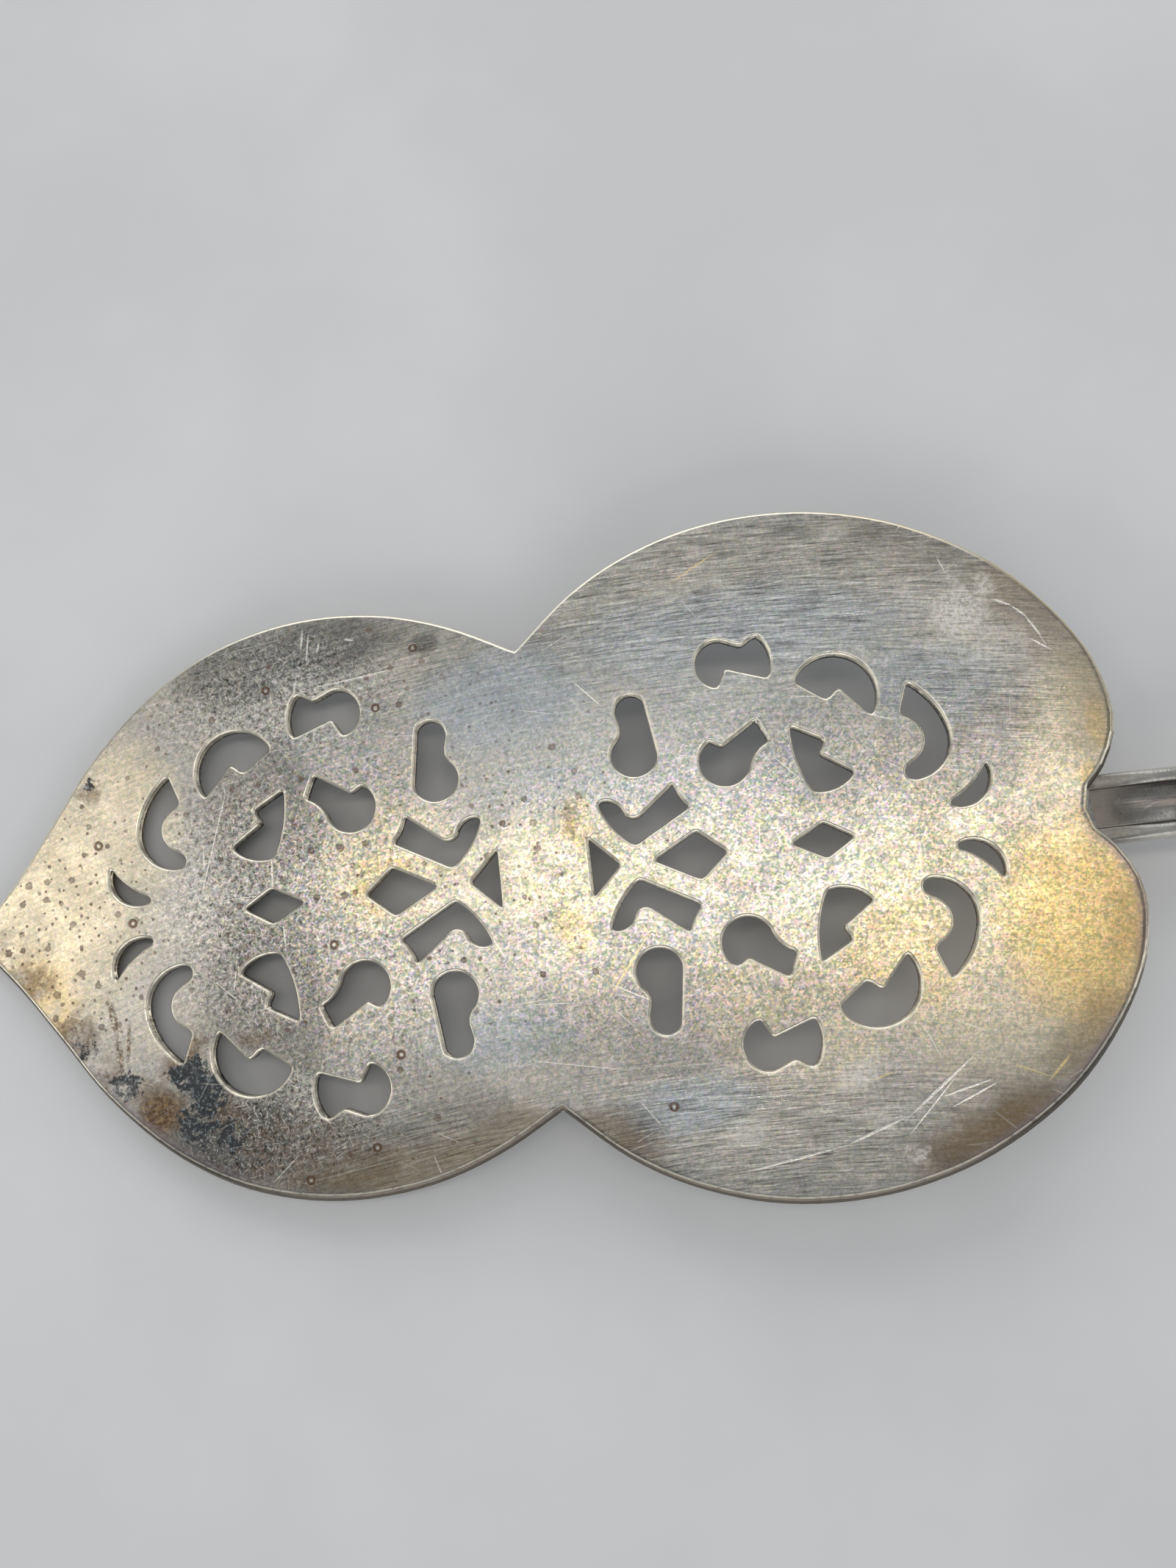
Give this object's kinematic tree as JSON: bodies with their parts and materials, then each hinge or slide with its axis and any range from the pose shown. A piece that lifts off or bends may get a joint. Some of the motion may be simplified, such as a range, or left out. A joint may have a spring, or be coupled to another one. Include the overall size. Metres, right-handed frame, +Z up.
{
  "type": "pierced cake server",
  "caption": "Cake or pastry server: a flat pierced two-lobed blade with a pointed tip, and a narrow threaded handle soldered under it.",
  "frame": {"origin": "on the surface the server lies on, below the middle of its outer box", "axes": "+X from the tip of the blade to the end of the handle, +Z up out of the blade's back, +Y across the blade"},
  "size_m": [0.2026, 0.0574, 0.0093],
  "materials": {
    "blade_plate": "brushed silver plate over brass, scratched and tarnished",
    "handle_plate": "brushed silver plate over brass, dulled in the channel",
    "solder": "dull silver solder"
  },
  "bodies": {
    "root": {"blade": "blade_plate", "handle": "handle_plate", "solder_bead": "solder"}
  },
  "joints": []
}
